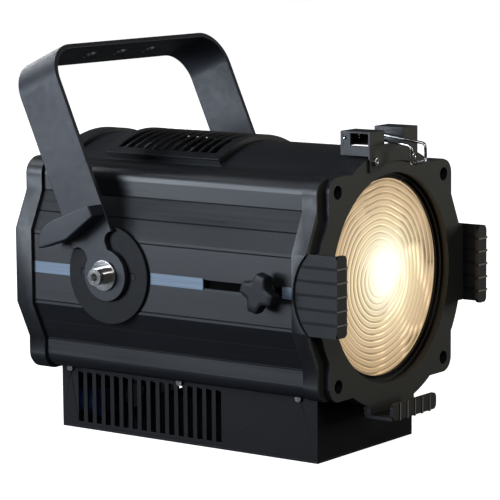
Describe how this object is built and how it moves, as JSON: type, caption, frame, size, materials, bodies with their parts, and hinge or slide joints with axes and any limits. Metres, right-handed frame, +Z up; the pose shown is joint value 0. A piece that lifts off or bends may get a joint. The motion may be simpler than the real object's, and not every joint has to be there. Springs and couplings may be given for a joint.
{
  "type": "fresnel spotlight",
  "caption": "Focusing fresnel spotlight with an extruded barrel, vented base, tilting yoke, stepped lens, side focus knob and clips for an accessory frame.",
  "frame": {"origin": "middle of the underside of the base", "axes": "+Z up, the lens faces -Y, the focus knob is on the -X side"},
  "size_m": [0.2542, 0.3176, 0.3124],
  "materials": {
    "anodised_barrel": "satin black anodised extrusion",
    "side_inlay": "flat satin light blue-grey inlay",
    "cast_black": "die casting with a fine black powder texture",
    "powder_black": "fine satin black powder coat",
    "yoke_black": "satin dark grey-black powder coat",
    "moulded_black": "matt moulded plastic with a fine texture",
    "black_screws": "black oxide",
    "bright_screws": "polished nickel plate",
    "chrome_wire": "polished chrome wire",
    "plated_steel": "zinc-plated steel",
    "lens_glass": "clear pressed glass with stepped rings",
    "gasket": "matt silicone cord",
    "bare_aluminium": "machined aluminium",
    "black_aluminium": "black anodised aluminium",
    "bronze_bush": "sintered bronze",
    "led_phosphor": "phosphor under clear silicone",
    "reflector": "bright reflector",
    "board": "green circuit board",
    "driver_case": "brushed driver case",
    "panel": "printed panel overlay",
    "display": "dark display window",
    "button_rubber": "matt rubber key",
    "inlet_blue": "matt blue moulding",
    "socket_metal": "dark nickel socket shell",
    "knob_black": "smooth matt black moulding",
    "fan_plastic": "matt black moulding"
  },
  "bodies": {
    "housing": {"barrel_shell": "anodised_barrel", "side_strips": "side_inlay", "front_casting": "cast_black", "front_screws": "black_screws", "fresnel_lens": "lens_glass", "lens_gasket": "gasket", "lens_retaining_ring": "black_screws", "front_bulkhead": "black_aluminium", "rear_bulkhead": "black_aluminium", "accessory_clip_left": "cast_black", "accessory_clip_right": "cast_black", "accessory_clip_bottom": "cast_black", "latch_bracket": "powder_black", "latch_screws": "bright_screws", "rear_cap": "moulded_black", "rear_cap_screws": "black_screws", "top_vent_cover": "moulded_black", "base_box": "powder_black", "base_rails": "plated_steel", "base_plate": "powder_black", "base_screws": "black_screws", "base_plate_screws": "plated_steel", "led_driver": "driver_case", "control_board": "board", "control_panel": "panel", "display_window": "display", "power_inlet": "inlet_blue", "data_socket_in": "socket_metal", "data_socket_out": "socket_metal", "pivot_disc_left": "black_aluminium", "pivot_disc_right": "black_aluminium", "disc_screws": "black_screws", "pivot_washers": "bright_screws", "pivot_spring_washers": "bright_screws", "pivot_screws": "bright_screws", "guide_rods": "plated_steel", "fan_frame": "fan_plastic", "fan_guard": "plated_steel"},
    "yoke": {"yoke": "yoke_black", "pivot_guard_left": "moulded_black", "pivot_guard_right": "moulded_black"},
    "carriage": {"carriage_plate": "bare_aluminium", "carriage_bushes": "bronze_bush", "heat_sink": "black_aluminium", "led_module": "led_phosphor", "led_clamp_ring": "moulded_black", "led_reflector": "reflector", "focus_stud": "plated_steel", "focus_spacer": "plated_steel", "slot_baffle": "black_aluminium"},
    "focus_knob": {"focus_knob": "knob_black"},
    "latch_bail": {"latch_bail": "chrome_wire"},
    "fan_rotor": {"fan_rotor": "fan_plastic"},
    "menu_button_1": {"menu_button_1": "button_rubber"},
    "menu_button_2": {"menu_button_2": "button_rubber"},
    "menu_button_3": {"menu_button_3": "button_rubber"},
    "menu_button_4": {"menu_button_4": "button_rubber"}
  },
  "joints": [
    {"name": "pivot_tilt", "type": "hinge", "parent": "housing", "child": "yoke", "pos_m": [0, 0.042, 0.1365], "axis": [1, 0, 0], "range_deg": [-96, 70]},
    {"name": "focus_slide", "type": "slide", "parent": "housing", "child": "carriage", "axis": [0, 1, 0], "range_m": [-0.0094, 0.0578]},
    {"name": "focus_knob_turn", "type": "hinge", "parent": "carriage", "child": "focus_knob", "pos_m": [-0.115, -0.11, 0.1365], "axis": [-1, 0, 0], "range_deg": [0, 360]},
    {"name": "latch_swing", "type": "hinge", "parent": "housing", "child": "latch_bail", "pos_m": [0, -0.13, 0.2455], "axis": [1, 0, 0], "range_deg": [-115, 0]},
    {"name": "fan_spin", "type": "hinge", "parent": "housing", "child": "fan_rotor", "pos_m": [0, 0.125, 0.1425], "axis": [0, 1, 0], "continuous": true},
    {"name": "menu_button_1_press", "type": "slide", "parent": "housing", "child": "menu_button_1", "axis": [0, -1, 0], "range_m": [0, 0.0012], "stiffness_N_per_m": 300, "springref_m": -0.0005},
    {"name": "menu_button_2_press", "type": "slide", "parent": "housing", "child": "menu_button_2", "axis": [0, -1, 0], "range_m": [0, 0.0012], "stiffness_N_per_m": 300, "springref_m": -0.0005},
    {"name": "menu_button_3_press", "type": "slide", "parent": "housing", "child": "menu_button_3", "axis": [0, -1, 0], "range_m": [0, 0.0012], "stiffness_N_per_m": 300, "springref_m": -0.0005},
    {"name": "menu_button_4_press", "type": "slide", "parent": "housing", "child": "menu_button_4", "axis": [0, -1, 0], "range_m": [0, 0.0012], "stiffness_N_per_m": 300, "springref_m": -0.0005}
  ]
}
